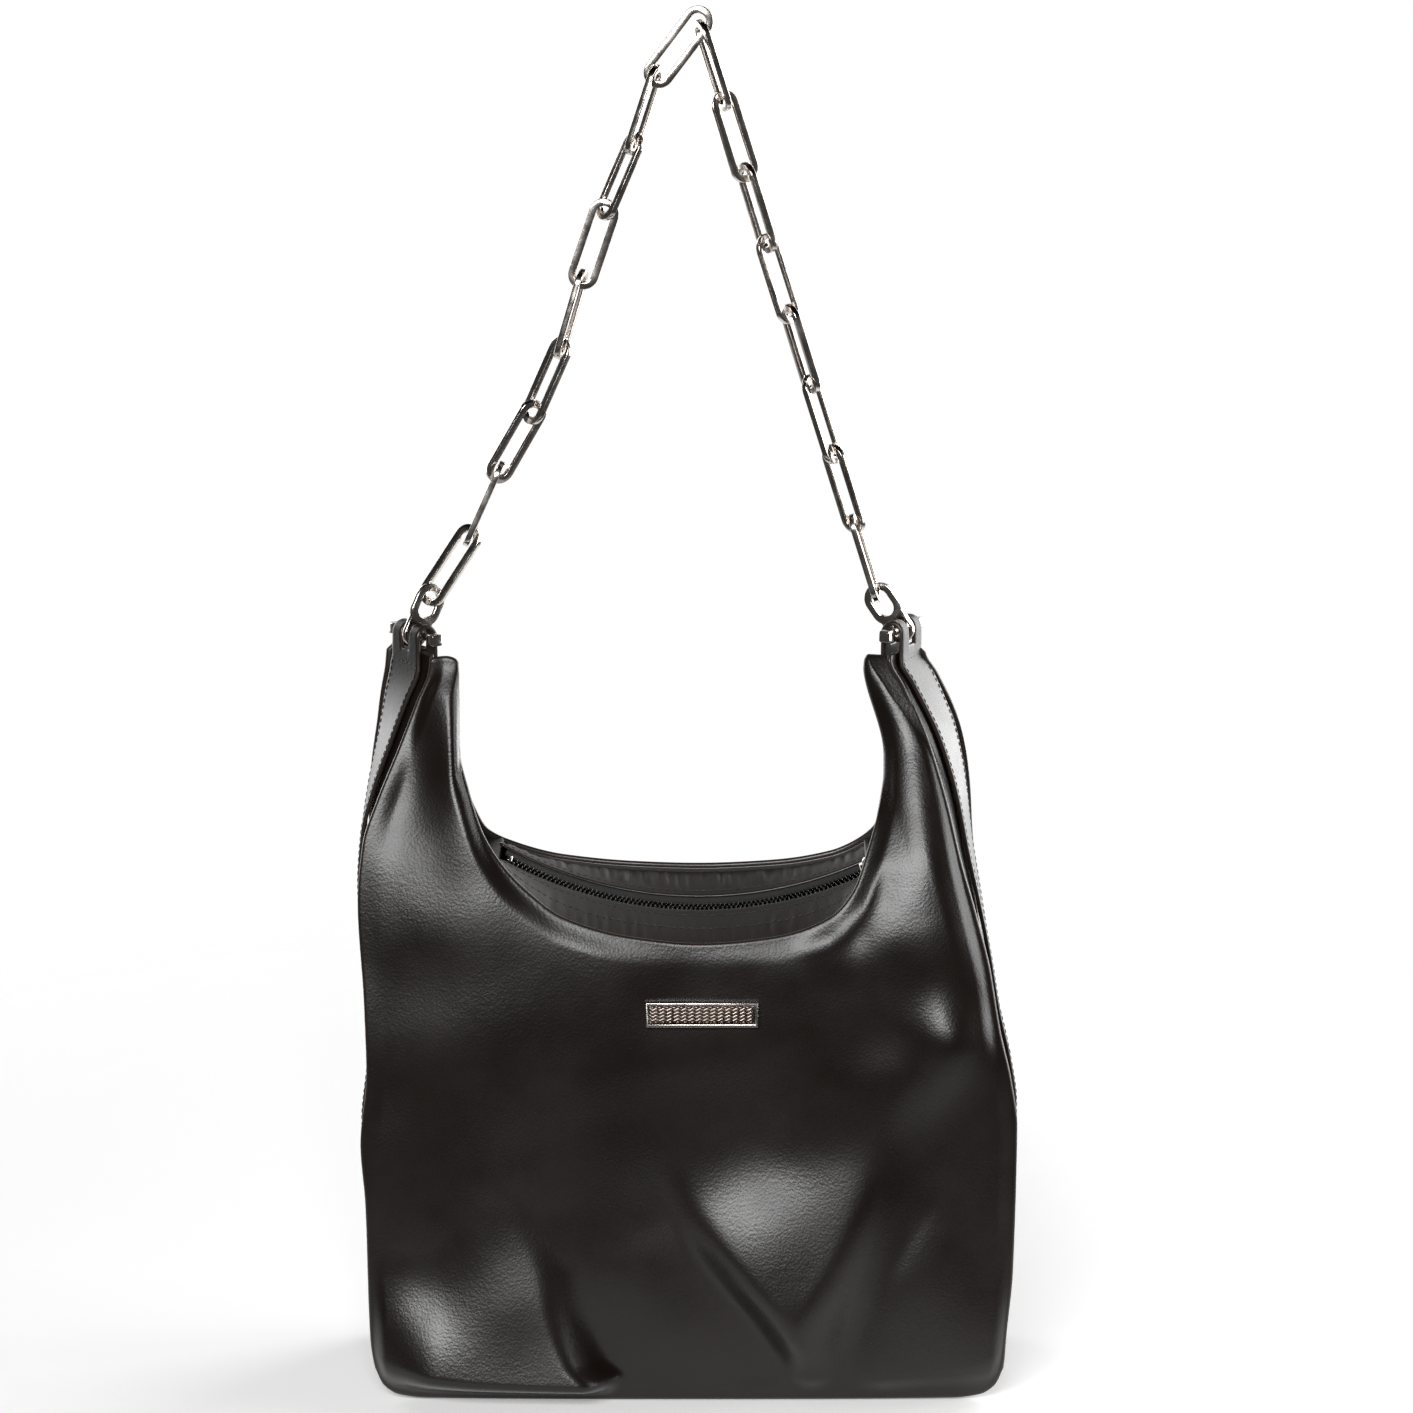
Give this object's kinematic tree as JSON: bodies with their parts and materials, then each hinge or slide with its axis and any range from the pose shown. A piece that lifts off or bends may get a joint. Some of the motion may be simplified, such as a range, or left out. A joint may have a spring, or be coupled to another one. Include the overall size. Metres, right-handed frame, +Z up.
{
  "type": "shoulder bag",
  "caption": "Soft leather hobo shoulder bag: curved zipped mouth between pointed horns, leather side straps over metal rods, and a strap of flat oval metal links.",
  "frame": {"origin": "on the floor under the middle of the bounding box, the bag standing on its feet", "axes": "+Z up, -Y the way the front with the nameplate faces, +X to the right as seen from the front"},
  "size_m": [0.2928, 0.1092, 0.6115],
  "materials": {
    "leather": "smooth near-black leather with a brown undertone, semi-gloss, fine grain",
    "facing_leather": "the same leather, slightly crinkled between two lines of stitching",
    "lining_cloth": "plain woven lining, matt",
    "board": "stiff fibre board, matt",
    "zip_tape": "black woven tape, matt",
    "zip_teeth": "dark, slightly shiny teeth",
    "polished_metal": "polished, silver-coloured plating"
  },
  "bodies": {
    "bag": {"front_panel": "leather", "back_panel": "leather", "left_gusset": "leather", "left_strap": "leather", "right_gusset": "leather", "right_strap": "leather", "base_panel": "leather", "base_board": "board", "foot_front_left": "polished_metal", "foot_front_right": "polished_metal", "foot_back_left": "polished_metal", "foot_back_right": "polished_metal", "lining": "lining_cloth", "inner_pocket": "lining_cloth", "front_facing": "facing_leather", "back_facing": "facing_leather", "zip_tape_front": "zip_tape", "zip_tape_back": "zip_tape", "zip_teeth_front": "zip_teeth", "zip_teeth_back": "zip_teeth", "zip_stop_left": "polished_metal", "zip_stop_right": "polished_metal", "nameplate_frame": "polished_metal", "nameplate_field": "polished_metal", "left_rod": "polished_metal", "left_rod_cap_front": "polished_metal", "left_rod_cap_back": "polished_metal", "right_rod": "polished_metal", "right_rod_cap_front": "polished_metal", "right_rod_cap_back": "polished_metal"},
    "left_ring": {"left_ring": "polished_metal"},
    "right_ring": {"right_ring": "polished_metal"},
    "link_01": {"link_01": "polished_metal"},
    "link_02": {"link_02": "polished_metal"},
    "link_03": {"link_03": "polished_metal"},
    "link_04": {"link_04": "polished_metal"},
    "link_05": {"link_05": "polished_metal"},
    "link_06": {"link_06": "polished_metal"},
    "link_07": {"link_07": "polished_metal"},
    "link_08": {"link_08": "polished_metal"},
    "link_09": {"link_09": "polished_metal"},
    "link_10": {"link_10": "polished_metal"},
    "link_11": {"link_11": "polished_metal"},
    "link_12": {"link_12": "polished_metal"},
    "link_13": {"link_13": "polished_metal"},
    "link_14": {"link_14": "polished_metal"},
    "link_15": {"link_15": "polished_metal"},
    "link_16": {"link_16": "polished_metal"},
    "link_17": {"link_17": "polished_metal"},
    "zip_slider": {"zip_slider": "polished_metal"},
    "zip_pull": {"zip_pull": "polished_metal"}
  },
  "joints": [
    {"name": "strap_rock", "type": "hinge", "parent": "bag", "child": "left_ring", "pos_m": [-0.1203, 0.00237, 0.337], "axis": [-1, 0, 0], "range_deg": [-10, 10]},
    {"name": "strap_rock_right", "type": "hinge", "parent": "bag", "child": "right_ring", "pos_m": [0.0937, 0.00237, 0.337], "axis": [-1, 0, 0], "range_deg": [-10, 10]},
    {"name": "strap_fold", "type": "hinge", "parent": "left_ring", "child": "link_01", "pos_m": [-0.1128, 0.00741, 0.35275], "axis": [-1, 0, 0], "range_deg": [0, 23]},
    {"name": "fold_02", "type": "hinge", "parent": "link_01", "child": "link_02", "pos_m": [-0.0962, 0.00741, 0.3814], "axis": [-1, 0, 0], "range_deg": [0, 35.58]},
    {"name": "fold_03", "type": "hinge", "parent": "link_02", "child": "link_03", "pos_m": [-0.0829, 0.00741, 0.4064], "axis": [-1, 0, 0], "range_deg": [0, 25.08]},
    {"name": "fold_04", "type": "hinge", "parent": "link_03", "child": "link_04", "pos_m": [-0.068, 0.00741, 0.4361], "axis": [-1, 0, 0], "range_deg": [0, 18.38]},
    {"name": "fold_05", "type": "hinge", "parent": "link_04", "child": "link_05", "pos_m": [-0.0555, 0.00741, 0.4626], "axis": [-1, 0, 0], "range_deg": [0, 14.22]},
    {"name": "fold_06", "type": "hinge", "parent": "link_05", "child": "link_06", "pos_m": [-0.0464, 0.00741, 0.4917], "axis": [-1, 0, 0], "range_deg": [0, 13.12]},
    {"name": "fold_07", "type": "hinge", "parent": "link_06", "child": "link_07", "pos_m": [-0.0357, 0.00741, 0.5255], "axis": [-1, 0, 0], "range_deg": [0, 10.33]},
    {"name": "fold_08", "type": "hinge", "parent": "link_07", "child": "link_08", "pos_m": [-0.0235, 0.00741, 0.5524], "axis": [-1, 0, 0], "range_deg": [0, 6.85]},
    {"name": "fold_09", "type": "hinge", "parent": "link_08", "child": "link_09", "pos_m": [-0.0141, 0.00741, 0.5794], "axis": [-1, 0, 0], "range_deg": [0, 3.38]},
    {"name": "fold_17", "type": "hinge", "parent": "right_ring", "child": "link_17", "pos_m": [0.0826, 0.00741, 0.35575], "axis": [-1, 0, 0], "range_deg": [0, 27.68]},
    {"name": "fold_16", "type": "hinge", "parent": "link_17", "child": "link_16", "pos_m": [0.073, 0.00741, 0.3829], "axis": [-1, 0, 0], "range_deg": [0, 35.65]},
    {"name": "fold_15", "type": "hinge", "parent": "link_16", "child": "link_15", "pos_m": [0.0634, 0.00741, 0.4163], "axis": [-1, 0, 0], "range_deg": [0, 26.03]},
    {"name": "fold_14", "type": "hinge", "parent": "link_15", "child": "link_14", "pos_m": [0.0537, 0.00741, 0.4472], "axis": [-1, 0, 0], "range_deg": [0, 21.3]},
    {"name": "fold_13", "type": "hinge", "parent": "link_14", "child": "link_13", "pos_m": [0.0442, 0.00741, 0.478], "axis": [-1, 0, 0], "range_deg": [0, 14.61]},
    {"name": "fold_12", "type": "hinge", "parent": "link_13", "child": "link_12", "pos_m": [0.0345, 0.00741, 0.5089], "axis": [-1, 0, 0], "range_deg": [0, 9.71]},
    {"name": "fold_11", "type": "hinge", "parent": "link_12", "child": "link_11", "pos_m": [0.0249, 0.00741, 0.5383], "axis": [-1, 0, 0], "range_deg": [0, 7.56]},
    {"name": "fold_10", "type": "hinge", "parent": "link_11", "child": "link_10", "pos_m": [0.0153, 0.00741, 0.5722], "axis": [-1, 0, 0], "range_deg": [0, 7.33]},
    {"name": "zip_slide", "type": "hinge", "parent": "bag", "child": "zip_slider", "pos_m": [0.0047, 0.00237, 0.388], "axis": [0, 1, 0], "range_deg": [0, 52]},
    {"name": "zip_pull_flip", "type": "hinge", "parent": "zip_slider", "child": "zip_pull", "pos_m": [0.07953, 0.00237, 0.23458], "axis": [0, 1, 0], "range_deg": [-160, 0]}
  ],
  "couplings": [
    {"joint": "strap_rock_right", "follows": "strap_rock", "ratio": 1},
    {"joint": "fold_02", "follows": "strap_fold", "ratio": 1.546},
    {"joint": "fold_03", "follows": "strap_fold", "ratio": 1.0895},
    {"joint": "fold_04", "follows": "strap_fold", "ratio": 0.79825},
    {"joint": "fold_05", "follows": "strap_fold", "ratio": 0.61755},
    {"joint": "fold_06", "follows": "strap_fold", "ratio": 0.56958},
    {"joint": "fold_07", "follows": "strap_fold", "ratio": 0.4482},
    {"joint": "fold_08", "follows": "strap_fold", "ratio": 0.29705},
    {"joint": "fold_09", "follows": "strap_fold", "ratio": 0.14587},
    {"joint": "fold_17", "follows": "strap_fold", "ratio": 1.2027},
    {"joint": "fold_16", "follows": "strap_fold", "ratio": 1.5491},
    {"joint": "fold_15", "follows": "strap_fold", "ratio": 1.1309},
    {"joint": "fold_14", "follows": "strap_fold", "ratio": 0.92537},
    {"joint": "fold_13", "follows": "strap_fold", "ratio": 0.63423},
    {"joint": "fold_12", "follows": "strap_fold", "ratio": 0.4212},
    {"joint": "fold_11", "follows": "strap_fold", "ratio": 0.32767},
    {"joint": "fold_10", "follows": "strap_fold", "ratio": 0.31771}
  ]
}
